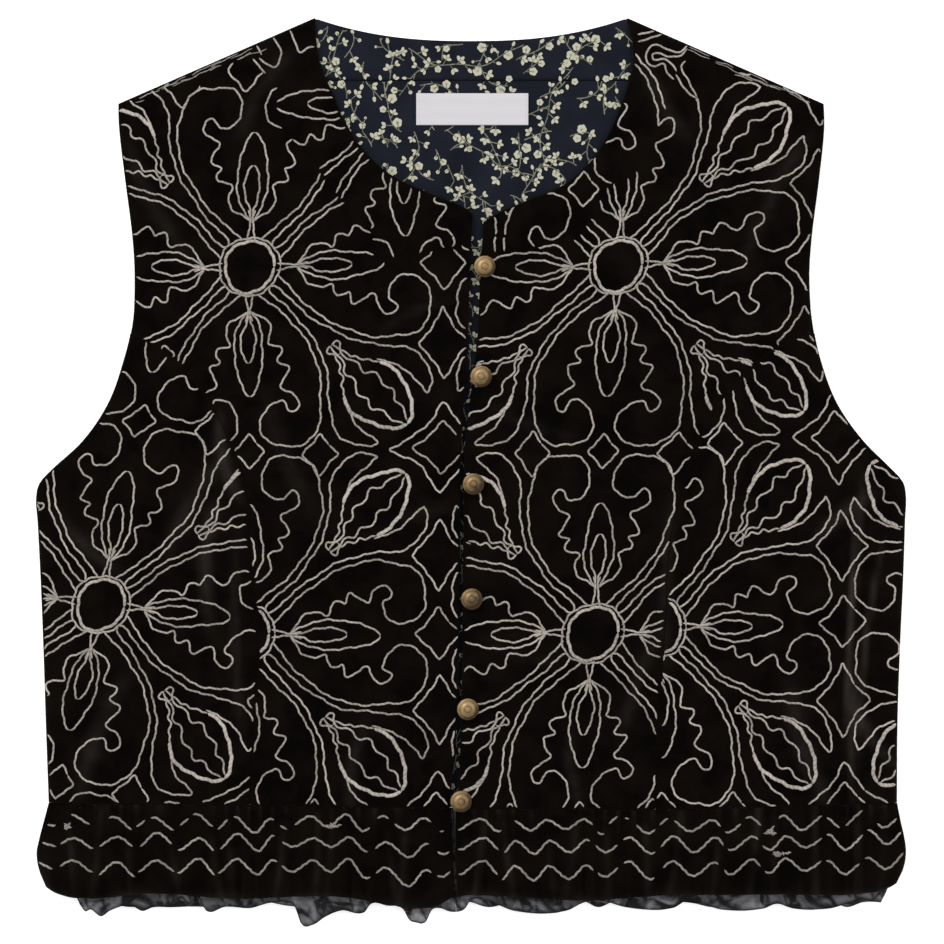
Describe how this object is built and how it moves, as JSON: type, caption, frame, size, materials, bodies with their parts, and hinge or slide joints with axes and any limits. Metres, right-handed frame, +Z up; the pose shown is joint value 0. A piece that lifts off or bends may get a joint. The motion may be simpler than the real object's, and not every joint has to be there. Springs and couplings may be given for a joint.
{
  "type": "velvet vest",
  "caption": "Sleeveless cropped black velvet vest laid flat, chain-stitch embroidery, gathered frill over net, domed brass buttons.",
  "frame": {"origin": "centre of the box in X and Y, on the surface that the vest lies on", "axes": "+X towards the wearer's left, +Y from hem to neck, +Z up off the surface, through the back and then the front"},
  "size_m": [0.4812, 0.5013, 0.0162],
  "materials": {
    "velvet": "cotton velvet, warm black, with cream chain-stitch embroidery",
    "lining_print": "plain-woven navy cotton with a pale sprig print",
    "woven_label": "bare white woven label",
    "net": "fine black net",
    "brass": "antiqued, worn satin"
  },
  "bodies": {
    "root": {"back_velvet": "velvet", "back_lining": "lining_print", "back_neck_facing": "lining_print", "neck_label": "woven_label", "front_centre_right": "velvet", "front_centre_left": "velvet", "front_side_right": "velvet", "front_side_left": "velvet", "ruffle_front_right": "velvet", "ruffle_front_left": "velvet", "ruffle_back": "velvet", "net_ruffle_front_right": "net", "net_ruffle_front_left": "net", "net_ruffle_back": "net", "button_1": "brass", "button_2": "brass", "button_3": "brass", "button_4": "brass", "button_5": "brass", "button_6": "brass"}
  },
  "joints": []
}
